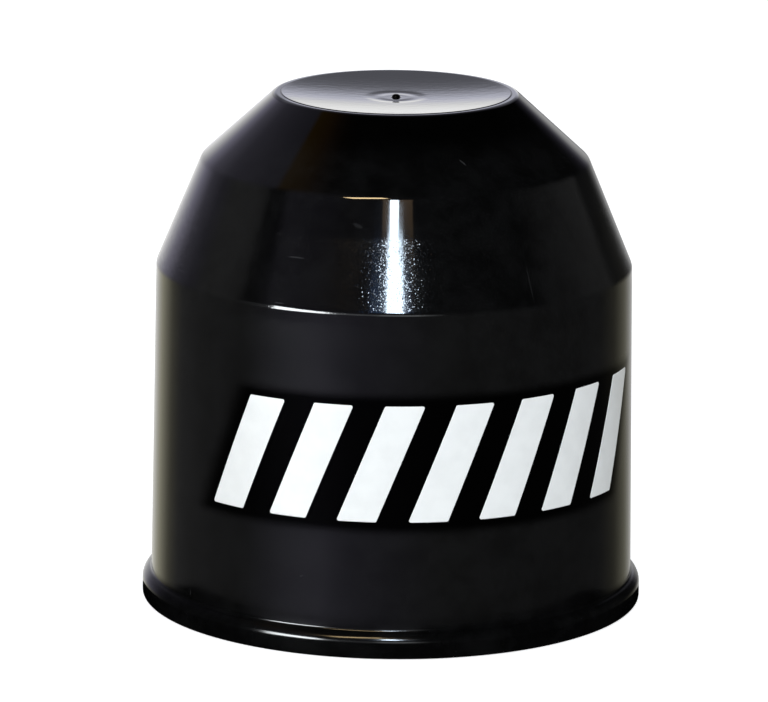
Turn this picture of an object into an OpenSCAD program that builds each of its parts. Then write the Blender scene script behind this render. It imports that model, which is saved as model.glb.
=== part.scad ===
// Tow ball cover: a moulded cap that pushes down over a tow ball.
// The axis is +Z. The origin is the centre of the open mouth, in the plane of the foot.
// The front, with its row of printed bars, faces -Y.

/* [Tow ball] */
// Diameter of the tow ball that the cover fits
ball_d = 50; // [45:0.5:56]
// Gap between the ball and the inside of the skirt, on each side
ball_gap = 1; // [0.7:0.1:2]

/* [Shell] */
// Thickness of the skirt and of the two cones
wall = 2; // [1.4:0.1:3]
// Thickness of the top under the dish
top_t = 2; // [1.4:0.1:3]
// Height of the shoulder, where the skirt ends
skirt_h = 40.1; // [34:0.2:50]
// Draft of the skirt, degrees from upright
skirt_draft = 0.8; // [0.2:0.1:2]
// Height of the steep cone above the skirt
lower_cone_h = 12.5; // [9:0.2:16]
// Slope of the steep cone, degrees from upright
lower_cone_angle = 22.6; // [15:0.2:28]
// Height of the shallow cone up to the rim
upper_cone_h = 7.8; // [5:0.1:9.5]
// Slope of the shallow cone, degrees from upright
upper_cone_angle = 47.6; // [42:0.2:52]
// Radius of the rounded shoulder
shoulder_round = 1.5; // [0.5:0.1:3]
// Radius of the rounded waist between the two cones
waist_round = 1.5; // [0.5:0.1:3]
// Radius of the rounded outer edge of the rim
rim_round = 0.8; // [0.3:0.1:1]
// Radius in the corners of the inside
inside_round = 0.5; // [0.2:0.1:1]

/* [Lip round the foot] */
// How far the lip stands out from the skirt
lip_out = 1.05; // [0.7:0.05:1.15]
// Height of the lip
lip_h = 3; // [2.6:0.1:5]
// Radius of the lip's rounded upper edge
lip_round = 1.2; // [1.2:0.05:1.8]
// Radius of the small fillet where the lip meets the skirt
lip_root = 0.35; // [0.2:0.05:0.8]
// Radius of the foot's outer edge
foot_round = 0.25; // [0.2:0.05:0.7]

/* [Dished top] */
// Width of the flat rim outside the dish, with its rounded edge
rim_w = 0.8; // [0.7:0.05:2]
// Step from the rim up to the edge of the dish
dish_step = 0.06; // [0.02:0.02:0.3]
// Depth of the dish below its own edge
dish_depth = 0.65; // [0.3:0.05:1.2]
// Diameter of the shallow trough round the gate mark, at its deepest
trough_d = 5.2; // [5:0.2:10]
// Width of the trough
trough_w = 2.8; // [2:0.2:4]
// Depth of the trough
trough_depth = 0.1; // [0.05:0.01:0.3]
// Diameter of the gate mark
gate_d = 0.8; // [0.6:0.1:0.8]
// Height of the gate mark
gate_h = 0.42; // [0.42:0.02:1]

/* [Mouth] */
// Length of the parallel stretch inside the mouth, from the foot up
mouth_land = 9; // [5:0.5:12]
// Radius of the mouth's inner edge
mouth_round = 0.6; // [0.3:0.1:1]

/* [Grip ribs] */
// Number of ribs that grip the ball
rib_count = 8; // [4:1:16]
// How far the ribs press into the ball's radius
rib_grip = 0.1; // [0:0.05:0.3]
// Height at which the ribs start
rib_start = 12.5; // [12.5:0.5:18]
// Width of a rib at its tip
rib_tip_w = 1; // [0.6:0.1:2]
// Draft of a rib's two sides, degrees
rib_side = 8; // [2:1:15]
// Draft of a rib's tip, degrees from upright
rib_draft = 0.5; // [0.2:0.1:1]
// Slope of the lead-in at a rib's lower end, degrees from upright
rib_lead = 30; // [20:1:45]

/* [Print] */
// Number of printed bars
bar_count = 7; // [5:1:9]
// Part of the skirt that the bars cover, degrees
print_span = 121; // [90:1:150]
// Height of the lower edge of the print
print_z = 15.9; // [12:0.1:20]
// Height of the print
print_h = 13.6; // [8:0.1:17]
// Width of a bar
bar_w = 4.6; // [2:0.1:5]
// Lean of the bars, degrees from upright
bar_lean = 22; // [5:1:30]
// Thickness of the ink
ink_t = 0.1; // [0.05:0.05:0.2]

/* [Hidden] */
plastic_black = "#16171a";
ink_white = "#eceeee";
round_fn = 180;
// How far a cutter runs past the face that it cuts
past = 1;

// A sloping wall is [its radius at z = 0, how fast it closes in with height].
// It passes through the point p, or lies that much inside it, square to the slope.
function sloping(p, angle, inside = 0) = [p.x + p.y * tan(angle) - inside / cos(angle), tan(angle)];
function radius_at(slope, z) = slope[0] - slope[1] * z;
function crossing(a, b) = let (z = (a[0] - b[0]) / (a[1] - b[1])) [radius_at(a, z), z];

// Points of an arc round the centre c, from one angle to another
function arc(c, r, from, to, n = 6) =
    [for (i = [0:n]) let (t = from + (to - from) * i / n) c + r * [cos(t), sin(t)]];

// Points of the arc that rounds the corner p between its neighbours a and b
function unit(v) = v / norm(v);
function rounded(a, p, b, r, n = 6) =
    let (u = unit(a - p), v = unit(b - p), half = acos(u * v) / 2, turn = 180 - 2 * half,
         c = p + unit(u + v) * r / sin(half),
         first = p + u * r / tan(half) - c, last = p + v * r / tan(half) - c)
    [for (i = [0:n]) c + (first * sin(turn * (1 - i / n)) + last * sin(turn * i / n)) / sin(turn)];

// Corners of the outside, as [radius, height]
shoulder = [ball_d / 2 + ball_gap + wall, skirt_h];
waist = shoulder + [-lower_cone_h * tan(lower_cone_angle), lower_cone_h];
crown = waist + [-upper_cone_h * tan(upper_cone_angle), upper_cone_h];
skirt = sloping(shoulder, skirt_draft);

// The lip's upper edge is an arc round lip_c. The root fillet, round root_c, touches both
// that arc and the skirt.
lip_r = radius_at(skirt, lip_h) + lip_out;
lip_c = [lip_r - lip_round, lip_h - lip_round];
root_reach = lip_round + lip_root;
root_x = radius_at(skirt, lip_c.y) + lip_root / cos(skirt_draft) - lip_c.x;
root_k = 1 + skirt[1] ^ 2;
root_y = (root_x * skirt[1] + sqrt(root_k * root_reach ^ 2 - root_x ^ 2)) / root_k;
root_c = lip_c + [root_x - skirt[1] * root_y, root_y];
root_angle = atan2(root_c.y - lip_c.y, root_c.x - lip_c.x);

// The dish is a shallow bowl, and its edge stands a step above the rim. A smooth round trough
// in it leaves a low mound at the middle, with the gate mark on top.
dish_r = crown.x - rim_w;
dish_edge = crown.y + dish_step;
trough_out = (trough_d + trough_w) / 2;
trough_in = (trough_d - trough_w) / 2;
gate_r = gate_d / 2;
gate_top = dish_z(0) + gate_h;
function bowl_z(r) = dish_edge - dish_depth * (1 - (r / dish_r) ^ 2);
function trough_z(r) =
    r > trough_in && r < trough_out ? trough_depth * cos(180 * (r - trough_d / 2) / trough_w) ^ 2 : 0;
function dish_z(r) = bowl_z(r) - trough_z(r);

// The inside follows the outside at the wall's thickness, up to a flat ceiling
ceiling_z = dish_edge - dish_depth - top_t;
skirt_in = sloping(shoulder, skirt_draft, wall);
lower_in = sloping(shoulder, lower_cone_angle, wall);
upper_in = sloping(waist, upper_cone_angle, wall);
mouth_r = radius_at(skirt_in, mouth_land);
land_top = [mouth_r, mouth_land];
shoulder_in = crossing(skirt_in, lower_in);
waist_in = crossing(lower_in, upper_in);
ceiling_edge = [radius_at(upper_in, ceiling_z), ceiling_z];

// The seated ball touches the ceiling, and the ribs' tips press on it at its widest
ball_c = [0, ceiling_z - ball_d / 2];
rib_tip = sloping([ball_d / 2 - rib_grip, ball_c.y], rib_draft);
rib_ramp = sloping([radius_at(skirt_in, rib_start), rib_start], rib_lead);
rib_corner = crossing(rib_ramp, rib_tip);
rib_r = radius_at(rib_tip, waist.y);

// Along the skirt, the bars' centres are bar_pitch degrees apart
print_mid = print_z + print_h / 2;
print_r = radius_at(skirt, print_mid);
bar_shift = print_h * tan(bar_lean);
bar_angle = (bar_w + bar_shift) / print_r * 180 / PI;
bar_pitch = (print_span - bar_angle) / (bar_count - 1);

module outside() {
    rotate_extrude($fn = round_fn)
        polygon(concat(
            [[0, 0]],
            arc([lip_r - foot_round, foot_round], foot_round, -90, 0),
            arc(lip_c, lip_round, 0, root_angle),
            arc(root_c, lip_root, 180 + root_angle, 180 + skirt_draft, 4),
            rounded([radius_at(skirt, 0), 0], shoulder, waist, shoulder_round),
            rounded(shoulder, waist, crown, waist_round),
            rounded(waist, crown, [0, crown.y], rim_round),
            [[dish_r, crown.y]],
            [for (i = [0:8]) let (r = dish_r + (trough_out - dish_r) * i / 8) [r, dish_z(r)]],
            [for (i = [1:12]) let (r = trough_out + (trough_in - trough_out) * i / 12) [r, dish_z(r)]],
            [[gate_r, dish_z(gate_r)]],
            arc([0, gate_top - gate_r], gate_r, 0, 90)
        ));
}

module inside() {
    rotate_extrude($fn = round_fn)
        polygon(concat(
            [[0, -past], [mouth_r + mouth_round, -past]],
            arc([mouth_r + mouth_round, mouth_round], mouth_round, 270, 180),
            [land_top],
            rounded(land_top, shoulder_in, waist_in, inside_round, 3),
            rounded(shoulder_in, waist_in, ceiling_edge, inside_round, 3),
            rounded(waist_in, ceiling_edge, [0, ceiling_z], inside_round, 4),
            [[0, ceiling_z]]
        ));
}

// The ribs stand on the inside of the skirt and run out where the lower cone meets their tips
module ribs() {
    intersection() {
        rotate_extrude($fn = round_fn)
            polygon([
                [radius_at(rib_ramp, 0), 0],
                rib_corner,
                [rib_r, waist.y],
                [radius_at(rib_ramp, 0), waist.y]
            ]);
        for (i = [0:rib_count - 1])
            rotate(360 * (i + 0.5) / rib_count)
                linear_extrude(height = waist.y + past)
                    rib_plan();
    }
}

module rib_plan() {
    spread = (lip_r - rib_r) * tan(rib_side);
    polygon([
        [rib_r - past, -rib_tip_w / 2],
        [rib_r, -rib_tip_w / 2],
        [lip_r, -rib_tip_w / 2 - spread],
        [lip_r, rib_tip_w / 2 + spread],
        [rib_r, rib_tip_w / 2],
        [rib_r - past, rib_tip_w / 2]
    ]);
}

// A thin skin on the skirt, as tall as the print
module ink_band() {
    skin = ink_t / cos(skirt_draft);
    low = radius_at(skirt, print_z);
    high = radius_at(skirt, print_z + print_h);
    rotate_extrude($fn = round_fn)
        polygon([
            [low, print_z],
            [low + skin, print_z],
            [high + skin, print_z + print_h],
            [high, print_z + print_h]
        ]);
}

// One leaning bar, as a prism from the axis out past the skirt
module bar_prism() {
    rotate([90, 0, 0])
        linear_extrude(height = lip_r + past)
            polygon([
                [-(bar_shift + bar_w) / 2, print_z],
                [-(bar_shift - bar_w) / 2, print_z],
                [(bar_shift + bar_w) / 2, print_z + print_h],
                [(bar_shift - bar_w) / 2, print_z + print_h]
            ]);
}

module cover() {
    color(plastic_black)
        difference() {
            outside();
            difference() {
                inside();
                ribs();
            }
        }
}

module printed_bars() {
    color(ink_white)
        intersection() {
            ink_band();
            for (i = [0:bar_count - 1])
                rotate((i - (bar_count - 1) / 2) * bar_pitch)
                    bar_prism();
        }
}

cover();
printed_bars();
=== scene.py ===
"""Tow ball cover: the looks of a glossy moulded cap with a row of bars printed on its skirt."""
import math
from functools import reduce

import bpy
import numpy as np
from mathutils import Matrix, Vector


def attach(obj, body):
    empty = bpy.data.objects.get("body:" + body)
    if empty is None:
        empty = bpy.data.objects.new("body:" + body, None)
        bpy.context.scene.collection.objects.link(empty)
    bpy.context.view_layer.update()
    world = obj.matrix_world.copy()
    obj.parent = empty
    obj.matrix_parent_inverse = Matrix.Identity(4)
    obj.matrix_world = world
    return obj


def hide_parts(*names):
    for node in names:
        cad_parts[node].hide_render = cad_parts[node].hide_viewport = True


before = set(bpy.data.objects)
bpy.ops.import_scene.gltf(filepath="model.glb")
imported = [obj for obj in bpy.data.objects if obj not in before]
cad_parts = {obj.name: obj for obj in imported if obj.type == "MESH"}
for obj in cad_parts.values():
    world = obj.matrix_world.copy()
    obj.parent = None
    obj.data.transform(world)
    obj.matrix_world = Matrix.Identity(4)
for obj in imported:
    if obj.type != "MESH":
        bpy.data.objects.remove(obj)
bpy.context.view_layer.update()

MM = 0.001
TINY = 1e-6

# Straight runs of an outline longer than these get points of their own, in millimetres
SHORT_RUN, LONG_RUN = 0.3, 3.0

# The outside of the cap, in millimetres and degrees from upright
SKIRT_R = 28.0
SKIRT_H = 40.1
SKIRT_DRAFT = 0.8
LOWER_CONE_H = 12.5
LOWER_CONE_ANGLE = 22.6
UPPER_CONE_H = 7.8
UPPER_CONE_ANGLE = 47.6
SHOULDER_ROUND = 1.5
WAIST_ROUND = 1.5
RIM_ROUND = 0.8

# The lip round the foot
LIP_H = 3.0
LIP_OUT = 1.05
LIP_ROUND = 1.2
LIP_ROOT = 0.35
FOOT_ROUND = 0.25

# The dished top, with a trough round the gate mark
RIM_W = 0.8
DISH_STEP = 0.06
DISH_STEP_ROUND = 0.03
DISH_DEPTH = 0.65
TROUGH_D = 5.2
TROUGH_W = 2.6
TROUGH_DEPTH = 0.04
GATE_R = 0.48
GATE_H = 0.36
GATE_FOOT = 0.06

# The inside: the wall's thickness, the mouth, and the ribs that grip the ball
WALL = 2.0
TOP_T = 2.0
INSIDE_ROUND = 0.5
MOUTH_LAND = 9.0
MOUTH_ROUND = 0.6
BALL_R = 25.0
RIB_COUNT = 8
RIB_GRIP = 0.1
RIB_START = 12.5
RIB_TIP_W = 1.0
RIB_SIDE = 8.0
RIB_DRAFT = 0.5
RIB_LEAD = 30.0
RIB_BLEND = 0.05

# The printed bars, centred on -Y
BAR_COUNT = 7
PRINT_SPAN = 121.0
PRINT_Z = 15.9
PRINT_H = 13.6
BAR_W = 4.6
BAR_LEAN = 22.0
BAR_CORNER = 0.22
INK_PROUD = 0.035
INK_UNDER = 0.03

# The white ink: its colour, how much that colour varies from cloud to cloud, and its roughness
INK_COLOUR = (0.85, 0.85, 0.825)
INK_CLOUDS = (0.975, 1.025)
INK_ROUGHNESS = 0.35

# The plastic's colour: a level near the crown, lower down, and on the ground of the print. The lower level
# near the crown is painted shade.
PLASTIC_TINT = (1.0, 1.0, 1.02)
CROWN_LEVEL = 0.0003
BODY_LEVEL = 0.0024
GROUND_LEVEL = 0.0001
LEVEL_HEIGHTS = (58.6, 54.8)
SMUDGES = (0.6, 1.4)

# The roughness of its surfaces
POLISHED = 0.055
WORN_TOP, WORN_FOOT = 0.07, 0.085
SKIRT_ROUGHNESS = 0.14
SHOULDER_ROUGHNESS = 0.07
NICK_ROUGHNESS = 0.13
UNPOLISHED = 0.4
PLASTIC_IOR = 1.5

# The height under which the lower cone has been handled and is less smooth
HANDLED_TOP = 48.2

# Above this height, a surface that faces down is the ceiling of the cavity
CEILING_ABOVE = 30

# The unevenness of the moulding: its heights in millimetres, the share of the ripple that is left in
# the dish, and for the two kinds that are stretched, their cells to the metre
RIPPLE_H = 0.006
DISH_RIPPLE = 0.6
MOTTLE_H = 0.011
PEEL_H = 0.0006
TOOL_LINE_H = 0.00025
MOTTLE_CELLS = (800, 1500, 1200)
MOTTLE_TURN = (0, 0, 0.5)
TOOL_LINE_CELLS = (30, 30, 9000)

# The nicks in the handled band: cells to the metre, how rare and how large they are in their
# cells, the share of a tilt in each axis, and how far one tilts at most
NICK_CELLS = (10400, 10400, 6400)
NICK_CHANCE = 0.3
NICK_EDGE = (0.6, 0.45)
NICK_SPREAD = (1, 1, 0.15)
NICK_TILT = 0.21

# How well the surface mirrors, as a Specular IOR Level. The lip has levels from its left end, at -1, to its
# right end:
# painted shade and painted highlights, dull towards its ends and shiny where its highlights are wanted.
SHINE = 0.5
NO_SHINE = 0.04
LIP_SHINE = [
    (-1, 0.3), (-0.975, 0.08), (-0.9, 0.02), (-0.55, 0.03), (-0.44, 0.4), (-0.36, 0.5), (-0.3, 0.5),
    (-0.24, 0.22), (-0.07, 0.22), (-0.03, 0.5), (0.06, 0.5), (0.16, 0.08), (0.93, 0.03), (0.985, 0.1),
    (1, 0.4),
]

# The dark ground round the print: how far its soft edges reach up and down, and in radians
# sideways, and the share of the shine that it takes away
GROUND_REACH = (0.4, 1.9)
GROUND_ENDS = (0.015, 0.13)
GROUND_SHARE = 0.95

# Scratches and scuffs: degrees round from the print, height, half length, half width, lean, level.
# A whole mark adds MARK_LEVEL to the plastic's colour.
MARKS = [
    (-40.0, 45.62, 1.4, 0.11, 0, 0.8),
    (9.3, 55.72, 0.5, 0.13, -45, 1.0),
    (-42.1, 40.6, 0.75, 0.1, 0, 1.0),
    (-24.1, 49.5, 0.75, 0.3, -20, 0.4),
    (21.0, 42.6, 2.4, 0.12, 90, 0.3),
    (-69.0, 4.0, 0.4, 0.09, 90, 1.0),
    (-35.2, 9.0, 0.3, 0.1, 30, 1.0),
]
MARK_LEVEL = 0.022

# The camera: its place in degrees and millimetres from the point at TARGET_Z on the axis, and its lens
CAMERA_AZIMUTH = -14.1
CAMERA_ELEVATION = 13.46
CAMERA_DISTANCE = 697.0
CAMERA_ROLL = 0.624
TARGET_Z = 29.26
LENS = 276.5
SENSOR = 36.0
SHIFT_X = -0.0121
CLIP_END = 20

# The lamps, which face the point on the axis at this height, in metres. Each has degrees round from
# the camera and up, metres away, wide and high, its radiance, colour, tilt, and the rays that see it.
LAMP_TARGET_Z = 0.035
LAMPS = [
    ("key_lamp", -82, 14, 1.0, 0.5, 0.3, 2.2, (1, 1, 1), 0, "dull"),
    ("fill_lamp", -12, 14, 1.0, 0.5, 0.3, 7.2, (1, 1, 1), 0, "dull"),
    ("warm_lamp", -20.5, 47, 0.9, 0.33, 0.14, 25, (1, 0.74, 0.4), 38, "gloss"),
]

# The window's panes, in metres from its middle. The streak over the polished part of the cone is
# the upper pane, and the handled band below mirrors the wider lower one. The panes that only
# glossy rays see stand a little behind the others.
WINDOW_ELEVATION = 31
WINDOW_DISTANCE = 0.95
WINDOW_BEHIND = 0.06
WINDOW = [
    ("strip_upper", (-0.038, 0.031, 0.0285, 0.12), 62, (0.75, 0.87, 1), "both"),
    ("strip_lower", (-0.055, 0.067, -0.06, 0.024), 58, (0.7, 0.85, 1), "both"),
    ("warm_left", (-0.1, -0.046, 0.0285, 0.16), 1.0, (1, 0.68, 0.38), "gloss"),
    ("warm_right", (0.039, 0.15, 0.0285, 0.035), 0.5, (1, 0.72, 0.38), "gloss"),
    ("warm_corner", (0.039, 0.15, 0.035, 0.16), 0.9, (1, 0.66, 0.38), "gloss"),
    ("blue_surround", (-0.17, 0.12, -0.06, 0.022), 1.1, (0.2, 0.42, 1), "gloss"),
]

# The sheet under the cap, in metres, and how bright it is for the camera over the light that falls
# on it. Then the dark ring that only the cap mirrors, in millimetres: it is widest in front, and
# narrows between two cosines of the angle from there.
SHEET_SIZE = 3.0
SHEET_DROP = 0.0001
SHEET_COLOUR = (0.85, 0.85, 0.85, 1)
SHEET_ROUGHNESS = 0.9
FLOOR_GLOW = 0.7
SHADE_IN, SHADE_OUT, SHADE_FRONT = 28, 28.5, 15
SHADE_NARROWS = (-0.15, 0.3)
SHADE_Z = -0.02
SHADE_SIDES = 96

# What the cap mirrors: (how far across the cap, light, tint) for walls as steep as the skirt,
# the lower cone and the upper cone. The picture's left is -1.
PLAIN = (1.0, 1.0, 1.0)
TABLE = (1.04, 1.0, 0.76)
ROOM = (0.97, 0.93, 1.22)
SKY = (0.97, 0.985, 1.15)
AMBER = (1.5, 0.85, 0.15)
AMBER_MIDDLE = (1.5, 0.8, 0.2)
AMBER_PALE = (1.4, 0.75, 0.35)
AMBER_END = (1.3, 0.8, 0.5)
SKIRT_LOOK = [
    (-1, 1.1, PLAIN), (-0.965, 0.72, TABLE), (-0.92, 0.22, TABLE), (-0.88, 0.12, PLAIN), (-0.6, 0.10, PLAIN),
    (-0.45, 0.2, ROOM), (-0.3, 0.33, ROOM), (-0.15, 0.19, ROOM), (0.2, 0.09, PLAIN), (0.86, 0.055, PLAIN),
    (0.92, 0.1, TABLE), (0.965, 0.3, TABLE), (1, 0.75, PLAIN),
]
LOWER_LOOK = [
    (-1, 1.2, PLAIN), (-0.965, 0.64, ROOM), (-0.92, 0.24, ROOM), (-0.86, 0.13, ROOM), (-0.8, 0.15, PLAIN),
    (-0.7, 0.17, PLAIN), (-0.65, 0.13, PLAIN), (-0.62, 0.02, PLAIN), (-0.56, 0.02, ROOM), (-0.52, 0.11, ROOM),
    (-0.34, 0.08, ROOM), (-0.22, 0.03, ROOM), (0, 0.04, ROOM), (0.2, 0.01, PLAIN), (0.58, 0.01, PLAIN),
    (0.68, 0.06, PLAIN), (0.83, 0.1, PLAIN), (0.9, 0.1, PLAIN), (0.925, 0.02, PLAIN), (0.975, 0.02, PLAIN),
    (0.99, 0.12, PLAIN), (1, 0.5, PLAIN),
]
UPPER_LOOK = [
    (-1, 1.2, PLAIN), (-0.975, 0.58, ROOM), (-0.94, 0.3, ROOM), (-0.87, 0.18, ROOM), (-0.62, 0.13, ROOM),
    (-0.59, 0.08, AMBER), (-0.49, 0.06, AMBER_MIDDLE), (-0.42, 0.03, AMBER_PALE), (-0.35, 0.01, AMBER_END),
    (-0.25, 0.006, PLAIN), (0, 0.006, PLAIN), (0.95, 0.004, PLAIN), (0.975, 0.03, ROOM), (0.99, 0.12, ROOM),
    (1, 0.6, PLAIN),
]

# What the dished top mirrors: (degrees above the horizon behind the cap, light, tint). It takes over
# from the upper cone's between two slopes, in degrees.
DISH_LOOK = [
    (-12, 0.9, PLAIN), (-4, 1.1, PLAIN), (1, 1.5, PLAIN), (4.5, 1.56, PLAIN), (7, 1.42, PLAIN),
    (9, 1.24, SKY), (11, 0.98, SKY), (13, 0.68, SKY), (14.8, 0.4, SKY), (16.5, 0.34, SKY),
    (18, 0.29, SKY), (20.5, 0.3, SKY), (25, 0.4, SKY), (40, 0.1, ROOM),
]
DISH_SLOPES = (UPPER_CONE_ANGLE + 4, 72)

# A ramp's colours stop at 1, so the looks are stored as shares of this light
LOOK_SCALE = 1.6

# The elevation in degrees, close to the camera's, from which the looks are meant to be seen
LOOK_ELEVATION = 12.5

# A glare off the table to the left that the shoulder mirrors: (across, light), the range of slopes
# that mirror it at its left and right ends, where those ends are as shares of the cap's width, and
# its soft edges in degrees
GLARE_LOOK = [
    (-0.68, 0.0), (-0.6, 0.003), (-0.505, 0.008), (-0.49, 1.0), (-0.29, 0.9), (-0.25, 0.1), (-0.21, 0.03),
    (-0.08, 0.025), (-0.04, 0.06), (0.09, 0.06), (0.13, 0.03), (0.22, 0.0),
]
GLARE_LEFT = (4.2, 19.5)
GLARE_RIGHT = (5.5, 13.5)
GLARE_ENDS = (0.24, 0.37)
GLARE_EDGES = (1.5, 2.0)
GLARE_COLOUR = (27.9, 29.4, 30.0)

# The room's light on dull surfaces
PLAIN_LIGHT = (0.43, 0.43, 0.43, 1)

WHITE = (1, 1, 1, 1)
BLACK = (0, 0, 0, 1)

# The kinds of socket that a node group hands out
NUMBER = "NodeSocketFloat"
DIRECTION = "NodeSocketVector"


def tan(degrees):
    return math.tan(math.radians(degrees))


def cos(degrees):
    return math.cos(math.radians(degrees))


def sloping(point, angle, inside=0.0):
    """A sloping wall through a point, or that much inside it: (radius at z = 0, how fast it closes in)."""
    return point[0] + point[1] * tan(angle) - inside / cos(angle), tan(angle)


def radius_at(slope, z):
    return slope[0] - slope[1] * z


def crossing(a, b):
    """The [radius, height] at which two sloping walls meet."""
    z = (a[0] - b[0]) / (a[1] - b[1])
    return np.array([radius_at(a, z), z])


def arc(centre, radius, start, end, n=12):
    """Points of an arc round a centre, between two angles in degrees."""
    t = np.radians(np.linspace(start, end, n + 1))
    return np.array(centre) + radius * np.stack([np.cos(t), np.sin(t)], axis=1)


def rounded(a, p, b, radius, n=12):
    """Points of the arc that rounds the corner p between a and b.

    The arc's centre lies on the corner's bisector, radius / sin(half the corner) away, and its
    points are the spherical mean of the two spokes that meet the sides square.
    """
    a, p, b = (np.array(x, dtype=float) for x in (a, p, b))
    u = (a - p) / np.linalg.norm(a - p)
    v = (b - p) / np.linalg.norm(b - p)
    half = math.acos(float(u @ v)) / 2
    turn = math.pi - 2 * half
    bisector = (u + v) / np.linalg.norm(u + v)
    centre = p + bisector * radius / math.sin(half)
    first = p + u * radius / math.tan(half) - centre
    last = p + v * radius / math.tan(half) - centre
    t = np.linspace(0, 1, n + 1)[:, None]
    return centre + (first * np.sin(turn * (1 - t)) + last * np.sin(turn * t)) / math.sin(turn)


def joined(*stretches):
    """One path of [radius, height] points from several stretches.

    Between the end of one stretch and the start of the next, a straight run gets points that
    crowd towards both its ends, so that smooth shading doesn't smear a rounded edge over a flat.
    """
    path = [np.atleast_2d(np.array(stretches[0], dtype=float))]
    for stretch in stretches[1:]:
        stretch = np.atleast_2d(np.array(stretch, dtype=float))
        start, end = path[-1][-1], stretch[0]
        length = np.linalg.norm(end - start)
        if length > SHORT_RUN:
            n = 10 if length > LONG_RUN else 4
            t = (1 - np.cos(np.linspace(0, math.pi, n + 1)[1:-1])) / 2
            path.append(start + (end - start) * t[:, None])
        elif length < TINY:
            stretch = stretch[1:]
        path.append(stretch)
    return np.concatenate(path)


SHOULDER = np.array([SKIRT_R, SKIRT_H])
WAIST = SHOULDER + [-LOWER_CONE_H * tan(LOWER_CONE_ANGLE), LOWER_CONE_H]
CROWN = WAIST + [-UPPER_CONE_H * tan(UPPER_CONE_ANGLE), UPPER_CONE_H]
SKIRT = sloping(SHOULDER, SKIRT_DRAFT)
DISH_R = CROWN[0] - RIM_W
DISH_EDGE = CROWN[1] + DISH_STEP
CEILING_Z = DISH_EDGE - DISH_DEPTH - TOP_T
LIP_R = radius_at(SKIRT, LIP_H) + LIP_OUT

# Soft edges on the cap, in millimetres: (where it is 0, where it is 1), and bands of two edges
LIP_EDGE = (LIP_H + 1.2, LIP_H + 0.2)
SKIRT_EDGE = (SKIRT_H, SKIRT_H - 2)
SHOULDER_BAND = ((SKIRT_H - 0.5, SKIRT_H - 0.3), (SKIRT_H + 0.45, SKIRT_H + 0.3))
HANDLED_BAND = ((SKIRT_H - 0.8, SKIRT_H + 0.2), (HANDLED_TOP + 0.25, HANDLED_TOP - 0.35))
TOP_EDGE = (CROWN[1] - 1, CROWN[1] - 0.9)
CROWN_EDGE = (CROWN[1] - 0.3, CROWN[1] - 0.2)
DISH_FADE = (DISH_R, DISH_R - 0.6)
GATE_EDGE = (GATE_R + 0.12, GATE_R)
GROOVE_R = DISH_R + 0.04
GROOVE_EDGE = (0.14, 0.08)
RIM_EDGE = (DISH_R, DISH_R + 0.1)

# The rim's left end loses shine, which paints shade on it: how far to the side it is, and the share of its
# shine that is lost
RIM_END_SIDE = (-0.88, -0.95)
RIM_END_SHARE = 0.8


def dish_height(r):
    """A bowl that rises with the square of the radius, less a trough shaped as a squared cosine."""
    bowl = DISH_EDGE - DISH_DEPTH * (1 - (r / DISH_R) ** 2)
    across = np.clip((r - TROUGH_D / 2) / TROUGH_W, -0.5, 0.5)
    return bowl - TROUGH_DEPTH * np.cos(math.pi * across) ** 2


def top_path():
    """From the tip of the gate mark out over the dish and its step to the rim."""
    tip = dish_height(0.0) + GATE_H
    squash = [1, (GATE_H - GATE_FOOT) / GATE_R]
    gate = arc([0, 0], GATE_R, 90, 8, 10) * squash + [0, tip - GATE_R * squash[1]]
    foot_r = GATE_R + GATE_FOOT
    gate_foot = [[GATE_R, dish_height(GATE_R) + GATE_FOOT], [foot_r, dish_height(foot_r)]]
    r = np.concatenate([
        np.linspace(GATE_R + 0.2, (TROUGH_D + TROUGH_W) / 2, 22),
        np.linspace((TROUGH_D + TROUGH_W) / 2 + 0.4, DISH_R - 0.5, 16),
    ])
    dish = np.stack([r, dish_height(r)], axis=1)
    inner = [DISH_R - 0.4, dish_height(DISH_R - 0.4)]
    brow = [DISH_R, DISH_EDGE]
    step_foot = [DISH_R, CROWN[1]]
    rim_end = [CROWN[0], CROWN[1]]
    return joined(
        gate,
        gate_foot,
        dish,
        rounded(inner, brow, step_foot, DISH_STEP_ROUND, 6),
        rounded(brow, step_foot, rim_end, DISH_STEP_ROUND, 4),
        rounded(step_foot, rim_end, WAIST, RIM_ROUND),
    )


def side_path():
    """From the upper cone down the skirt and over the lip to the foot.

    The lip's upper edge is an arc, and the small root fillet touches both that arc and the skirt:
    its centre lies one radius outside the skirt and both radii from the arc's centre.
    """
    centre = np.array([LIP_R - LIP_ROUND, LIP_H - LIP_ROUND])
    reach = LIP_ROUND + LIP_ROOT
    x = radius_at(SKIRT, centre[1]) + LIP_ROOT / cos(SKIRT_DRAFT) - centre[0]
    k = 1 + SKIRT[1] ** 2
    y = (x * SKIRT[1] + math.sqrt(k * reach ** 2 - x ** 2)) / k
    root = centre + [x - SKIRT[1] * y, y]
    lean = math.degrees(math.atan2(root[1] - centre[1], root[0] - centre[0]))
    return joined(
        rounded(CROWN, WAIST, SHOULDER, WAIST_ROUND),
        rounded(WAIST, SHOULDER, [radius_at(SKIRT, 0), 0], SHOULDER_ROUND),
        arc(root, LIP_ROOT, 180 + SKIRT_DRAFT, 180 + lean, 6),
        arc(centre, LIP_ROUND, lean, 0, 14),
        arc([LIP_R - FOOT_ROUND, FOOT_ROUND], FOOT_ROUND, 0, -90, 6),
    )


def run(wall, low, high, n):
    """Points up a sloping wall between two heights."""
    z = np.linspace(low, high, n)
    return np.stack([radius_at(wall, z), z], axis=1)


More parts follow.
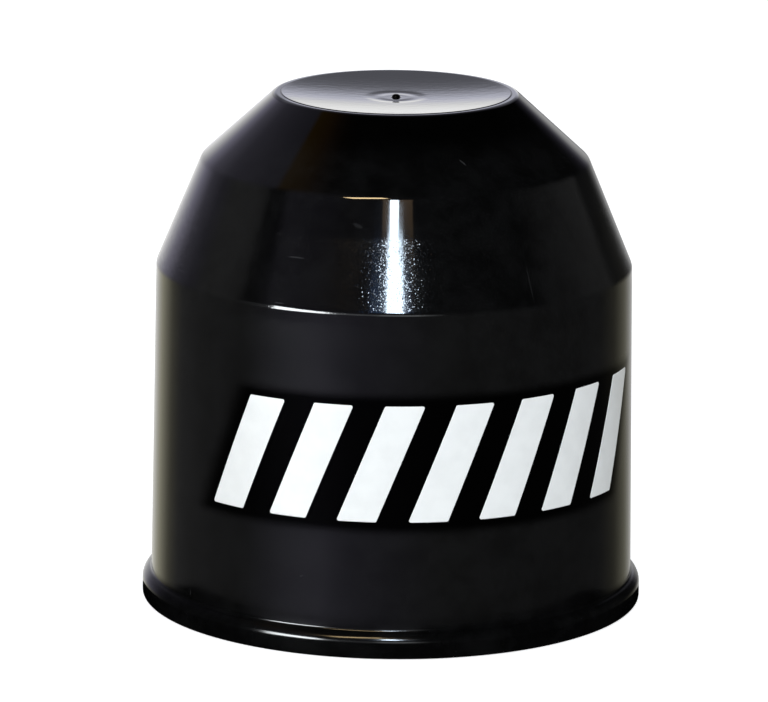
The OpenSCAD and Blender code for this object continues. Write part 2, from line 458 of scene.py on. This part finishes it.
def inside_path():
    """From the foot in round the mouth's edge and up the wall to the middle of the ceiling."""
    skirt = sloping(SHOULDER, SKIRT_DRAFT, WALL)
    lower = sloping(SHOULDER, LOWER_CONE_ANGLE, WALL)
    upper = sloping(WAIST, UPPER_CONE_ANGLE, WALL)
    mouth_r = radius_at(skirt, MOUTH_LAND)
    land_top = np.array([mouth_r, MOUTH_LAND])
    shoulder = crossing(skirt, lower)
    waist = crossing(lower, upper)
    corner = np.array([radius_at(upper, CEILING_Z), CEILING_Z])
    return joined(
        arc([mouth_r + MOUTH_ROUND, MOUTH_ROUND], MOUTH_ROUND, 270, 180, 6),
        land_top,
        run(skirt, RIB_START - 0.4, RIB_START + 3.2, 16),
        run(skirt, RIB_START + 5, SKIRT_H - 1.2, 9),
        rounded(land_top, shoulder, waist, INSIDE_ROUND, 5),
        run(lower, SKIRT_H + 1.2, SKIRT_H + 4.2, 8),
        rounded(shoulder, waist, corner, INSIDE_ROUND, 4),
        rounded(waist, corner, [0, CEILING_Z], INSIDE_ROUND, 6),
        [0, CEILING_Z],
    )


def column_angles():
    """Angles of the mesh's columns, crowded where the two sides of each rib stand."""
    half = np.concatenate([
        [0.0, 0.6, 1.1],
        np.linspace(1.2, 1.8, 6),
        [2.4],
        np.linspace(3.4, 180 / RIB_COUNT, 12),
    ])
    sector = np.concatenate([-half[:0:-1], half[:-1]])
    centres = 360.0 * (np.arange(RIB_COUNT) + 0.5) / RIB_COUNT
    return np.radians((centres[:, None] + sector[None, :]).ravel())


def ribbed(radius, height, angles):
    """Radius of the inside at each point: the wall's, or the rib's where that is less.

    A rib's tip follows a slightly drafted line, with a steeper lead-in below. Beside the tip the
    rib's radius grows by 1 / tan(side draft). The two are joined by a smooth minimum.
    """
    ball_z = CEILING_Z - BALL_R
    tip = sloping([BALL_R - RIB_GRIP, ball_z], RIB_DRAFT)
    skirt = sloping(SHOULDER, SKIRT_DRAFT, WALL)
    ramp = sloping([radius_at(skirt, RIB_START), RIB_START], RIB_LEAD)
    ridge = np.maximum(radius_at(tip, height), radius_at(ramp, height))
    pitch = 2 * math.pi / RIB_COUNT
    from_rib = np.abs((angles % pitch) - pitch / 2)
    beside = np.maximum(0, BALL_R * np.sin(from_rib) - RIB_TIP_W / 2) / tan(RIB_SIDE)
    rib = ridge[:, None] + beside[None, :]
    wall = np.broadcast_to(radius[:, None], rib.shape)
    return wall - RIB_BLEND * np.log1p(np.exp(np.clip((wall - rib) / RIB_BLEND, -60, 60)))


def ring_faces(rings, columns, start=0):
    """Faces of a closed surface whose points, from number start on, are a tip, rings and a tip."""
    i, j = np.meshgrid(np.arange(rings - 1), np.arange(columns), indexing="ij")
    after = (j + 1) % columns
    first = start + 1
    last = first + (rings - 1) * columns
    at = lambda a, b: (first + a * columns + b).ravel()
    quads = np.stack([at(i, j), at(i + 1, j), at(i + 1, after), at(i, after)], axis=1)
    j = np.arange(columns)
    after = (j + 1) % columns
    first_fan = np.stack([np.full_like(j, start), first + j, first + after], axis=1)
    last_fan = np.stack([np.full_like(j, last + columns), last + after, last + j], axis=1)
    return quads.tolist() + first_fan.tolist() + last_fan.tolist()


def solid_of_rings(radius, height, angles):
    """A closed surface of rings round the axis: point (i, j) is at radius[i, j], height[i], angles[j].

    The first and last rings are single points on the axis, joined to their neighbours by fans.
    """
    rings = np.stack([
        radius * np.cos(angles),
        radius * np.sin(angles),
        np.broadcast_to(height[:, None], radius.shape),
    ], axis=2)[1:-1].reshape(-1, 3)
    points = np.concatenate([[[0, 0, height[0]]], rings, [[0, 0, height[-1]]]])
    return points, ring_faces(len(radius) - 2, len(angles))


def make_piece(name, points, faces, material):
    """A smooth-shaded mesh object from points in millimetres."""
    mesh = bpy.data.meshes.new(name)
    mesh.from_pydata((points * MM).tolist(), [], faces)
    mesh.validate()
    mesh.update()
    mesh.polygons.foreach_set("use_smooth", np.ones(len(mesh.polygons), dtype=bool))
    mesh.materials.append(material)
    piece = bpy.data.objects.new(name, mesh)
    bpy.context.scene.collection.objects.link(piece)
    return piece


def cover_piece(material):
    """The whole cap as one closed surface, from the gate mark out, down, in and up to the ceiling."""
    outside = joined(top_path(), side_path())
    inside = inside_path()
    foot = joined(outside[-1], inside[0])[1:-1]
    angles = column_angles()
    plain = np.concatenate([outside, foot])
    radius = np.concatenate([
        np.repeat(plain[:, :1], len(angles), axis=1),
        ribbed(inside[:, 0], inside[:, 1], angles),
    ])
    radius[-1] = 0
    height = np.concatenate([plain[:, 1], inside[:, 1]])
    points, faces = solid_of_rings(radius, height, angles)
    return make_piece("cover_shell", points, faces, material)


def bar_outline():
    """The rounded outline of one leaning bar, as [offset along the skirt, height] round its middle."""
    shift = PRINT_H * tan(BAR_LEAN)
    corners = np.array([
        [-(shift + BAR_W) / 2, -PRINT_H / 2],
        [-(shift - BAR_W) / 2, -PRINT_H / 2],
        [(shift + BAR_W) / 2, PRINT_H / 2],
        [(shift - BAR_W) / 2, PRINT_H / 2],
    ])
    after = np.roll(corners, -1, axis=0)
    arcs = [rounded(corners[k - 1], corners[k], after[k], BAR_CORNER, 5) for k in range(4)]
    return joined(*arcs, arcs[0][0])[:-1]


def bar_points(centre_angle):
    """Points of one bar in rings, from the middle of its face over the edge to the middle behind.

    Each ring is the outline scaled about its middle, laid round the skirt at that ring's lift:
    the angle is the arcsine of the offset over the skirt's radius. The numbers of rings and of
    points in a ring come back too.
    """
    outline = bar_outline()
    inset = np.array([0.3, 0.6, 0.85, 0.97, 0.99, 0.996, 1.0, 1.0, 0.85, 0.5])
    lift = np.array([1, 1, 1, 1, 0.97, 0.8, 0.5, 0, 0, 0]) * (INK_PROUD + INK_UNDER) - INK_UNDER
    rings = (outline[None] * inset[:, None, None]).reshape(-1, 2)
    flat = np.concatenate([[[0, 0]], rings, [[0, 0]]])
    lift = np.concatenate([[INK_PROUD], np.repeat(lift, len(outline)), [-INK_UNDER]])
    z = flat[:, 1] + PRINT_Z + PRINT_H / 2
    skirt = radius_at(SKIRT, z)
    angle = np.arcsin(flat[:, 0] / skirt) + centre_angle
    r = skirt + lift
    points = np.stack([r * np.sin(angle), -r * np.cos(angle), z], axis=1)
    return points, len(inset), len(outline)


def bars_piece(material):
    """All the printed bars as one piece: seven thin closed plates on the skirt."""
    shift = PRINT_H * tan(BAR_LEAN)
    middle_r = radius_at(SKIRT, PRINT_Z + PRINT_H / 2)
    bar_angle = math.degrees((BAR_W + shift) / middle_r)
    pitch = (PRINT_SPAN - bar_angle) / (BAR_COUNT - 1)
    all_points = []
    all_faces = []
    for bar in range(BAR_COUNT):
        centre = math.radians((bar - (BAR_COUNT - 1) / 2) * pitch)
        points, rings, columns = bar_points(centre)
        all_faces += ring_faces(rings, columns, start=bar * len(points))
        all_points.append(points)
    return make_piece("bars_of_ink", np.concatenate(all_points), all_faces, material)


class Tree:
    """Short calls that add nodes to a node tree and link them."""

    def __init__(self, tree):
        self.tree = tree

    def link(self, socket, target):
        self.tree.links.new(socket, target)

    def node(self, kind, inputs=None, **settings):
        """A node with its settings. Each of its inputs gets a constant or a link from a socket."""
        node = self.tree.nodes.new(kind)
        for name, value in settings.items():
            setattr(node, name, value)
        for key, value in (inputs or {}).items():
            if isinstance(value, bpy.types.NodeSocket):
                self.link(value, node.inputs[key])
            else:
                node.inputs[key].default_value = value
        return node

    def group(self, group, **inputs):
        return self.node("ShaderNodeGroup", inputs, node_tree=group).outputs

    def coordinate(self, kind="Object"):
        return self.node("ShaderNodeTexCoord").outputs[kind]

    def parts(self, vector):
        """The x, y and z of a vector."""
        return self.node("ShaderNodeSeparateXYZ", {0: vector}).outputs

    def maths(self, operation, *values):
        return self.node("ShaderNodeMath", dict(enumerate(values)), operation=operation).outputs[0]

    def product(self, *values):
        return reduce(lambda a, b: self.maths("MULTIPLY", a, b), values)

    def largest(self, *values):
        return reduce(lambda a, b: self.maths("MAXIMUM", a, b), values)

    def squares(self, a, b):
        """The sum of the squares of two numbers."""
        return self.maths("ADD", self.maths("POWER", a, 2), self.maths("POWER", b, 2))

    def vectors(self, operation, first, second=None, scale=None):
        """Vector maths on one vector, with a second vector or a scale if the operation takes one."""
        inputs = {0: first, 1: second, 3: scale}
        given = {key: value for key, value in inputs.items() if value is not None}
        return self.node("ShaderNodeVectorMath", given, operation=operation).outputs[0]

    def stretched(self, vector, scale, turn=(0, 0, 0)):
        """A vector scaled, then turned."""
        return self.node("ShaderNodeMapping", {0: vector, 2: turn, 3: scale}).outputs[0]

    def noise(self, vector, scale, detail, roughness=0.5):
        inputs = {"Vector": vector, "Scale": scale, "Detail": detail, "Roughness": roughness}
        return self.node("ShaderNodeTexNoise", inputs).outputs[0]

    def step(self, value, low, high, to_low=0.0, to_high=1.0):
        """A smooth step of a value from one level to another."""
        inputs = {0: value, 1: low, 2: high, 3: to_low, 4: to_high}
        return self.node("ShaderNodeMapRange", inputs, interpolation_type="SMOOTHSTEP").outputs[0]

    def band(self, value, low_edge, high_edge):
        """1 between two soft edges, each given as (where it is 0, where it is 1)."""
        return self.product(self.step(value, *low_edge), self.step(value, *high_edge))

    def share(self, value, low, high):
        """How far a value is on its way from low to high, kept between 0 and 1."""
        return self.node("ShaderNodeMapRange", {0: value, 1: low, 2: high}).outputs[0]

    def mix(self, factor, a, b):
        """A mix of two numbers."""
        return self.node("ShaderNodeMix", {0: factor, 2: a, 3: b}, data_type="FLOAT").outputs[0]

    def mix_colour(self, factor, a, b):
        return self.node("ShaderNodeMix", {0: factor, 6: a, 7: b}, data_type="RGBA").outputs[2]

    def ramp(self, value, stops):
        """A colour ramp from (position, colour) stops."""
        node = self.node("ShaderNodeValToRGB", {0: value})
        elements = node.color_ramp.elements
        elements[0].position, elements[0].color = stops[0][0], (*stops[0][1], 1)
        elements[1].position, elements[1].color = stops[-1][0], (*stops[-1][1], 1)
        for position, colour in stops[1:-1]:
            elements.new(position).color = (*colour, 1)
        return node.outputs[0]


def level_stops(rows):
    """A ramp's stops from (position, level) rows whose positions run from -1 to 1."""
    return [((at + 1) / 2, (level, level, level)) for at, level in rows]


def look_stops(rows, low=-1, high=1):
    """A ramp's stops from (position, light, tint) rows whose positions run from low to high."""
    return [
        ((at - low) / (high - low), [light * part / LOOK_SCALE for part in tint])
        for at, light, tint in rows
    ]


def new_group(name, inputs, outputs):
    """A shader node group. It returns its tree, its input sockets, and a call that sets its outputs."""
    group = bpy.data.node_groups.new(name, "ShaderNodeTree")
    for label, value in inputs.items():
        socket = group.interface.new_socket(label, in_out="INPUT", socket_type=NUMBER)
        socket.default_value = value
    for label, kind in outputs.items():
        group.interface.new_socket(label, in_out="OUTPUT", socket_type=kind)
    tree = Tree(group)
    given = tree.node("NodeGroupInput").outputs
    result = tree.node("NodeGroupOutput")

    def finish(**sockets):
        for label, socket in sockets.items():
            tree.link(socket, result.inputs[label])
        return group

    return tree, given, finish


def new_material(name):
    """A node material with an empty tree but for its output and one Principled BSDF."""
    material = bpy.data.materials.new(name)
    material.use_nodes = True
    material.node_tree.nodes.clear()
    tree = Tree(material.node_tree)
    shader = tree.node("ShaderNodeBsdfPrincipled")
    tree.node("ShaderNodeOutputMaterial", {"Surface": shader.outputs["BSDF"]})
    return material, tree, shader


def place_group():
    """Where a point is on the cap.

    Height and Radius are in millimetres, and Around is the angle in radians from the print. Inside
    is 1 in the cavity. Side is how far to the right it is, from -1 to 1, for someone who faces the
    cap from the camera's azimuth.
    """
    outputs = dict.fromkeys(["Height", "Radius", "Around", "Inside", "Side"], NUMBER)
    tree, _, finish = new_group("place_on_cap", {}, outputs)
    x, y, z = tree.parts(tree.coordinate())
    normal = tree.parts(tree.coordinate("Normal"))
    height = tree.product(z, 1 / MM)
    flat = tree.maths("SQRT", tree.squares(x, y))
    around = tree.maths("ARCTAN2", x, tree.product(y, -1))
    outward = tree.maths("ADD", tree.product(x, normal[0]), tree.product(y, normal[1]))
    wall = tree.product(tree.maths("LESS_THAN", outward, 0), tree.maths("LESS_THAN", normal[2], 0.5))
    downward = tree.maths("LESS_THAN", normal[2], -0.5)
    ceiling = tree.product(downward, tree.maths("GREATER_THAN", height, CEILING_ABOVE))
    turn = math.radians(CAMERA_AZIMUTH)
    side = tree.maths("ADD", tree.product(x, math.cos(turn)), tree.product(y, math.sin(turn)))
    return finish(
        Height=height,
        Radius=tree.product(flat, 1 / MM),
        Around=around,
        Inside=tree.largest(wall, ceiling),
        Side=tree.maths("DIVIDE", side, tree.largest(flat, TINY)),
    )


def moulding_group():
    """The fine unevenness of a moulded surface: a slow ripple, mottling, an orange peel and tool lines."""
    tree, given, finish = new_group("moulded_surface", {"Ripple": 1.0, "Mottle": 0.0}, {"Height": NUMBER})
    place = tree.coordinate()
    ripple = tree.noise(place, scale=160.0, detail=1.0)
    mottle = tree.noise(tree.stretched(place, MOTTLE_CELLS, MOTTLE_TURN), scale=1.0, detail=4.0)
    peel = tree.noise(place, scale=2600.0, detail=2.0)
    lines = tree.noise(tree.stretched(place, TOOL_LINE_CELLS), scale=1.0, detail=2.0)
    total = tree.product(ripple, tree.product(given["Ripple"], RIPPLE_H))
    total = tree.maths("MULTIPLY_ADD", mottle, tree.product(given["Mottle"], MOTTLE_H), total)
    total = tree.maths("MULTIPLY_ADD", peel, PEEL_H, total)
    total = tree.maths("MULTIPLY_ADD", lines, TOOL_LINE_H, total)
    return finish(Height=total)


def specks_group():
    """Fine upright nicks that each face their own way, so that some catch a lamp beside its image.

    The tilt of a nick is a random vector times a power of a random number: most barely tilt.
    """
    tree, given, finish = new_group("specks", {"Amount": 1.0}, {"Mask": NUMBER, "Tilt": DIRECTION})
    place = tree.coordinate()
    tall = tree.stretched(place, NICK_CELLS)
    cells = tree.node("ShaderNodeTexVoronoi", {"Vector": tall, "Scale": 1.0, "Randomness": 1.0}).outputs
    chance = tree.node("ShaderNodeTexWhiteNoise", {"Vector": cells["Position"]}).outputs[0]
    patches = tree.step(tree.noise(place, scale=700.0, detail=2.0), 0.3, 0.6, to_low=0.6)
    there = tree.maths("GREATER_THAN", tree.product(chance, patches), NICK_CHANCE)
    there = tree.product(there, tree.step(cells["Distance"], *NICK_EDGE))
    mask = tree.product(there, given["Amount"])
    facing = tree.vectors("SUBTRACT", cells["Color"], (0.5, 0.5, 0.5))
    facing = tree.vectors("MULTIPLY", facing, NICK_SPREAD)
    reach = tree.product(tree.maths("POWER", chance, 3), NICK_TILT)
    return finish(Mask=mask, Tilt=tree.vectors("SCALE", facing, scale=tree.product(reach, mask)))


def marks_group():
    """Small scratches and scuffs: soft ellipses on the wall of the cap, broken up by noise."""
    tree, _, finish = new_group("wear_marks", {}, {"Mask": NUMBER})
    place = tree.group(PLACE)
    total = 0.0
    for azimuth, height, length, width, lean, level in MARKS:
        turned = tree.maths("SUBTRACT", place["Around"], math.radians(azimuth))
        u = tree.product(turned, place["Radius"])
        v = tree.maths("SUBTRACT", place["Height"], height)
        c, s = cos(lean), cos(90 - lean)
        along = tree.maths("ADD", tree.product(u, c / length), tree.product(v, s / length))
        over = tree.maths("SUBTRACT", tree.product(v, c / width), tree.product(u, s / width))
        mark = tree.step(tree.squares(along, over), 1.0, 0.1, to_high=level)
        total = tree.largest(total, mark)
    broken = tree.step(tree.noise(tree.coordinate(), scale=5000.0, detail=1.0), 0.3, 0.5, to_low=0.4)
    return finish(Mask=tree.product(total, broken))


PLACE = place_group()
MOULDING = moulding_group()
SPECKS = specks_group()
MARKS_ON_CAP = marks_group()


def print_ground(tree, place):
    """The dark ground round the print: a mask whose ends lean with the bars."""
    near, far = GROUND_REACH
    print_top = PRINT_Z + PRINT_H
    ground = tree.band(place["Height"], (PRINT_Z - far, PRINT_Z - near), (print_top + far, print_top + near))
    lean = tan(BAR_LEAN) / radius_at(SKIRT, PRINT_Z)
    above = tree.maths("SUBTRACT", place["Height"], PRINT_Z + PRINT_H / 2)
    around = tree.maths("ABSOLUTE", tree.maths("MULTIPLY_ADD", above, -lean, place["Around"]))
    print_end = math.radians(PRINT_SPAN / 2) - lean * PRINT_H / 2
    near, far = GROUND_ENDS
    ground = tree.product(ground, tree.step(around, print_end + far, print_end + near))
    return tree.mix(place["Inside"], ground, 0.0)


def plastic_normal(tree, dish, tilt):
    """The bumps of the moulding, mottled and less rippled in the dish, with the nicks' tilt added."""
    ripple = tree.mix(dish, 1.0, DISH_RIPPLE)
    moulding = tree.group(MOULDING, Ripple=ripple, Mottle=dish)["Height"]
    bump = tree.node("ShaderNodeBump", {"Strength": 1.0, "Distance": MM, "Height": moulding}).outputs[0]
    return tree.vectors("NORMALIZE", tree.vectors("ADD", bump, tilt))


def plastic_roughness(tree, place, handled, gate, nicks):
    """Polished above, worn in the handled band, duller on the skirt, unpolished inside and at the gate."""
    height = place["Height"]
    worn = tree.step(height, HANDLED_TOP, SKIRT_H, WORN_TOP, WORN_FOOT)
    roughness = tree.mix(tree.step(height, *SKIRT_EDGE), tree.mix(handled, POLISHED, worn), SKIRT_ROUGHNESS)
    roughness = tree.mix(nicks, roughness, NICK_ROUGHNESS)
    roughness = tree.mix(tree.band(height, *SHOULDER_BAND), roughness, SHOULDER_ROUGHNESS)
    return tree.mix(tree.largest(gate, place["Inside"]), roughness, UNPOLISHED)


def plastic_shine(tree, place, gate, ground):
    """How well the plastic mirrors.

    The lip has levels of its own, which are painted shade and painted highlights. The gate, the groove at the
    dish's step and the print's ground mirror little, and the rim's left end mirrors little as painted shade.
    """
    side = tree.maths("MULTIPLY_ADD", place["Side"], 0.5, 0.5)
    # The lip's shine from side to side is painted shade and painted highlights
    lip_painted_shine = tree.ramp(side, level_stops(LIP_SHINE))
    shine = tree.mix(tree.step(place["Height"], *LIP_EDGE), SHINE, lip_painted_shine)
    crown = tree.step(place["Height"], *CROWN_EDGE)
    from_groove = tree.maths("ABSOLUTE", tree.maths("SUBTRACT", place["Radius"], GROOVE_R))
    groove = tree.product(crown, tree.step(from_groove, *GROOVE_EDGE))
    # The rim's left end mirrors less: painted shade
    rim_end = tree.product(tree.step(place["Side"], *RIM_END_SIDE), tree.step(place["Radius"], *RIM_EDGE))
    rim_end = tree.product(crown, rim_end, RIM_END_SHARE)
    unlit = tree.largest(gate, groove, rim_end, tree.product(ground, GROUND_SHARE))
    return tree.mix(unlit, shine, NO_SHINE)


def plastic_colour(tree, place, ground):
    """Nearly black and darker near the crown as painted shade, with faint smudges, and paler where it is
    scratched.
    """
    clouds = tree.noise(tree.coordinate(), scale=260.0, detail=6.0, roughness=0.65)
    # Darker near the crown than lower down: painted shade
    level = tree.step(place["Height"], *LEVEL_HEIGHTS, CROWN_LEVEL, BODY_LEVEL)
    level = tree.product(level, tree.step(clouds, 0.35, 0.65, *SMUDGES))
    level = tree.mix(ground, level, GROUND_LEVEL)
    level = tree.maths("MULTIPLY_ADD", tree.group(MARKS_ON_CAP)["Mask"], MARK_LEVEL, level)
    return tree.vectors("SCALE", PLASTIC_TINT, scale=level)


def black_plastic():
    """Glossy black plastic, buffed smooth at the top, with a handled band above the shoulder."""
    material, tree, shader = new_material("black_plastic")
    place = tree.group(PLACE)
    handled = tree.band(place["Height"], *HANDLED_BAND)
    specks = tree.group(SPECKS, Amount=handled)
    top = tree.step(place["Height"], *TOP_EDGE)
    dish = tree.product(top, tree.step(place["Radius"], *DISH_FADE))
    gate = tree.product(top, tree.step(place["Radius"], *GATE_EDGE))
    ground = print_ground(tree, place)
    roughness = plastic_roughness(tree, place, handled, gate, specks["Mask"])
    tree.link(plastic_normal(tree, dish, specks["Tilt"]), shader.inputs["Normal"])
    tree.link(roughness, shader.inputs["Roughness"])
    tree.link(plastic_shine(tree, place, gate, ground), shader.inputs["Specular IOR Level"])
    tree.link(plastic_colour(tree, place, ground), shader.inputs["Base Color"])
    shader.inputs["IOR"].default_value = PLASTIC_IOR
    return material


def white_ink():
    """White ink with faint clouds in its colour."""
    material, tree, shader = new_material("white_ink")
    clouds = tree.noise(tree.coordinate(), scale=420.0, detail=4.0)
    clouds = tree.step(clouds, 0.3, 0.7, *INK_CLOUDS)
    tree.link(tree.vectors("SCALE", INK_COLOUR, scale=clouds), shader.inputs["Base Color"])
    shader.inputs["Roughness"].default_value = INK_ROUGHNESS
    return material


def direction(azimuth, elevation):
    """Unit vector from the cap towards an azimuth and elevation in degrees. Azimuth 0 is the camera's."""
    a = math.radians(CAMERA_AZIMUTH + azimuth)
    e = math.radians(elevation)
    return Vector((math.sin(a) * math.cos(e), -math.cos(a) * math.cos(e), math.sin(e)))


def facing_back(out):
    """The rotation of a camera or lamp that stands in that direction and faces the cap."""
    return out.to_track_quat("Z", "Y").to_matrix().to_4x4()


def make_camera():
    """The camera of the photo, rolled a little about its own line of sight."""
    data = bpy.data.cameras.new("camera")
    data.lens = LENS
    data.sensor_width = SENSOR
    data.sensor_fit = "HORIZONTAL"
    data.shift_x = SHIFT_X
    data.clip_end = CLIP_END
    camera = bpy.data.objects.new("camera", data)
    out = direction(0, CAMERA_ELEVATION)
    place = Vector((0, 0, TARGET_Z * MM)) + out * CAMERA_DISTANCE * MM
    roll = Matrix.Rotation(math.radians(CAMERA_ROLL), 4, "Z")
    camera.matrix_world = Matrix.Translation(place) @ facing_back(out) @ roll
    bpy.context.scene.collection.objects.link(camera)
    bpy.context.scene.camera = camera


def area_lamp(name, azimuth, elevation, distance, width, height, radiance, colour, tilt, seen_by,
              offset=(0, 0)):
    """A rectangular lamp, in metres, that faces the cap. Its power follows from its radiance and area.

    The offset moves it within its own plane, to the picture's right and up.
    """
    data = bpy.data.lights.new(name, "AREA")
    data.shape = "RECTANGLE"
    data.size = width
    data.size_y = height
    data.energy = radiance * math.pi * width * height
    data.color = colour
    lamp = bpy.data.objects.new(name, data)
    out = direction(azimuth, elevation)
    place = Vector((0, 0, LAMP_TARGET_Z)) + out * distance
    turn = Matrix.Translation((*offset, 0)) @ Matrix.Rotation(math.radians(tilt), 4, "Z")
    lamp.matrix_world = Matrix.Translation(place) @ facing_back(out) @ turn
    lamp.visible_diffuse = seen_by != "gloss"
    lamp.visible_glossy = seen_by != "dull"
    bpy.context.scene.collection.objects.link(lamp)


def window_lamp(name, sides, radiance, colour, seen_by):
    """One pane of the tall window that the steep cone mirrors as a streak: (left, right, low, high).

    The panes that only glossy rays see stand behind the others, because a ray sees the nearest only.
    """
    distance = WINDOW_DISTANCE + (WINDOW_BEHIND if seen_by == "gloss" else 0)
    left, right, low, high = (side * distance / WINDOW_DISTANCE for side in sides)
    middle = ((left + right) / 2, (low + high) / 2)
    width, height = right - left, high - low
    area_lamp(name, 0, WINDOW_ELEVATION, distance, width, height, radiance, colour, 0, seen_by, middle)


def make_sheet():
    """A white sheet under the cap, white for the camera but for the cap's soft shadow.

    Glossy rays see the room instead.
    """
    x = SHEET_SIZE
    mesh = bpy.data.meshes.new("floor")
    mesh.from_pydata([(-x, -x, 0), (x, -x, 0), (x, x, 0), (-x, x, 0)], [], [(0, 1, 2, 3)])
    material, tree, shader = new_material("floor_paper")
    rays = tree.node("ShaderNodeLightPath").outputs
    seen = tree.largest(rays["Is Camera Ray"], rays["Is Glossy Ray"], rays["Is Transmission Ray"])
    tree.link(tree.product(seen, FLOOR_GLOW), shader.inputs["Emission Strength"])
    shader.inputs["Base Color"].default_value = SHEET_COLOUR
    shader.inputs["Roughness"].default_value = SHEET_ROUGHNESS
    shader.inputs["Specular IOR Level"].default_value = 0
    shader.inputs["Emission Color"].default_value = WHITE
    mesh.materials.append(material)
    floor = bpy.data.objects.new("floor", mesh)
    floor.location.z = -SHEET_DROP
    floor.visible_glossy = False
    bpy.context.scene.collection.objects.link(floor)


def make_shade():
    """A dark ring on the sheet that only glossy rays see: the shade that the cap's foot mirrors."""
    turn = np.linspace(0, 2 * math.pi, SHADE_SIDES + 1)[:-1]
    front = np.cos(turn + math.radians(90 - CAMERA_AZIMUTH))
    outer = SHADE_OUT + SHADE_FRONT * np.interp(front, SHADE_NARROWS, (0, 1))
    rings = [
        np.stack([r * np.cos(turn), r * np.sin(turn), np.full_like(turn, SHADE_Z)], axis=1)
        for r in (SHADE_IN, outer)
    ]
    j = np.arange(SHADE_SIDES)
    after = (j + 1) % SHADE_SIDES
    faces = np.stack([j, j + SHADE_SIDES, after + SHADE_SIDES, after], axis=1).tolist()
    material, _, shader = new_material("shade_under_foot")
    shader.inputs["Base Color"].default_value = BLACK
    shader.inputs["Specular IOR Level"].default_value = 0
    ring = make_piece("shade_ring", np.concatenate(rings), faces, material)
    ring.visible_camera = ring.visible_diffuse = ring.visible_shadow = False


def table_glare(tree, across, slope):
    """The glare off the table, for the slopes of the shoulder that mirror it."""
    glare = tree.ramp(across, level_stops(GLARE_LOOK))
    along = tree.share(across, *GLARE_ENDS)
    low, high = (tree.mix(along, left, right) for left, right in zip(GLARE_LEFT, GLARE_RIGHT))
    over = tree.step(tree.maths("SUBTRACT", slope, low), 0.0, GLARE_EDGES[0])
    under = tree.step(tree.maths("SUBTRACT", high, slope), 0.0, GLARE_EDGES[1])
    glare = tree.mix_colour(tree.product(over, under), BLACK, glare)
    return tree.vectors("MULTIPLY", glare, GLARE_COLOUR)


def mirrored_room(tree, toward):
    """What glossy rays see in each direction.

    A wall that faces half-way between the camera and a direction mirrors that direction, so the
    looks are looked up by where such a wall faces: how far across the cap, and how far up.
    """
    half = tree.vectors("NORMALIZE", tree.vectors("ADD", toward, tuple(direction(0, LOOK_ELEVATION))))
    turn = (0, 0, math.radians(CAMERA_AZIMUTH))
    half = tree.node("ShaderNodeMapping", {0: half, 2: turn}, vector_type="TEXTURE").outputs[0]
    facing = tree.parts(half)
    flat = tree.largest(tree.maths("SUBTRACT", 1.0, tree.maths("POWER", facing[2], 2)), TINY)
    across = tree.maths("DIVIDE", facing[0], tree.maths("SQRT", flat))
    across = tree.maths("MULTIPLY_ADD", across, 0.5, 0.5)
    slope = tree.product(tree.maths("ARCSINE", facing[2]), 180 / math.pi)
    rise = tree.product(tree.maths("ARCSINE", tree.parts(toward)[2]), 180 / math.pi)

    looks = (SKIRT_LOOK, LOWER_LOOK, UPPER_LOOK)
    skirt, lower, upper = (tree.ramp(across, look_stops(rows)) for rows in looks)
    low, high = DISH_LOOK[0][0], DISH_LOOK[-1][0]
    dish = tree.ramp(tree.share(rise, low, high), look_stops(DISH_LOOK, low, high))
    room = tree.mix_colour(tree.share(slope, SKIRT_DRAFT, LOWER_CONE_ANGLE), skirt, lower)
    room = tree.mix_colour(tree.share(slope, LOWER_CONE_ANGLE, UPPER_CONE_ANGLE), room, upper)
    room = tree.mix_colour(tree.share(slope, *DISH_SLOPES), room, dish)
    room = tree.vectors("SCALE", room, scale=LOOK_SCALE)
    return tree.vectors("ADD", room, table_glare(tree, across, slope))


def make_world():
    """Plain light for dull surfaces, white behind for the camera, and a room for glossy rays."""
    world = bpy.data.worlds.new("room")
    bpy.context.scene.world = world
    world.use_nodes = True
    world.node_tree.nodes.clear()
    tree = Tree(world.node_tree)
    rays = tree.node("ShaderNodeLightPath").outputs
    room = mirrored_room(tree, tree.coordinate("Generated"))
    light = tree.mix_colour(rays["Is Glossy Ray"], PLAIN_LIGHT, room)
    light = tree.mix_colour(tree.largest(rays["Is Camera Ray"], rays["Is Transmission Ray"]), light, WHITE)
    background = tree.node("ShaderNodeBackground", {"Color": light, "Strength": 1.0})
    tree.node("ShaderNodeOutputWorld", {"Surface": background.outputs[0]})


make_camera()
make_world()
make_sheet()
make_shade()
for pane in WINDOW:
    window_lamp(*pane)
for lamp in LAMPS:
    area_lamp(*lamp)

cover = cover_piece(black_plastic())
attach(cover, "root")
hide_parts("cover")

bars = bars_piece(white_ink())
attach(bars, "root")
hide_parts("printed_bars")

scene = bpy.context.scene
scene.view_settings.view_transform = "Standard"
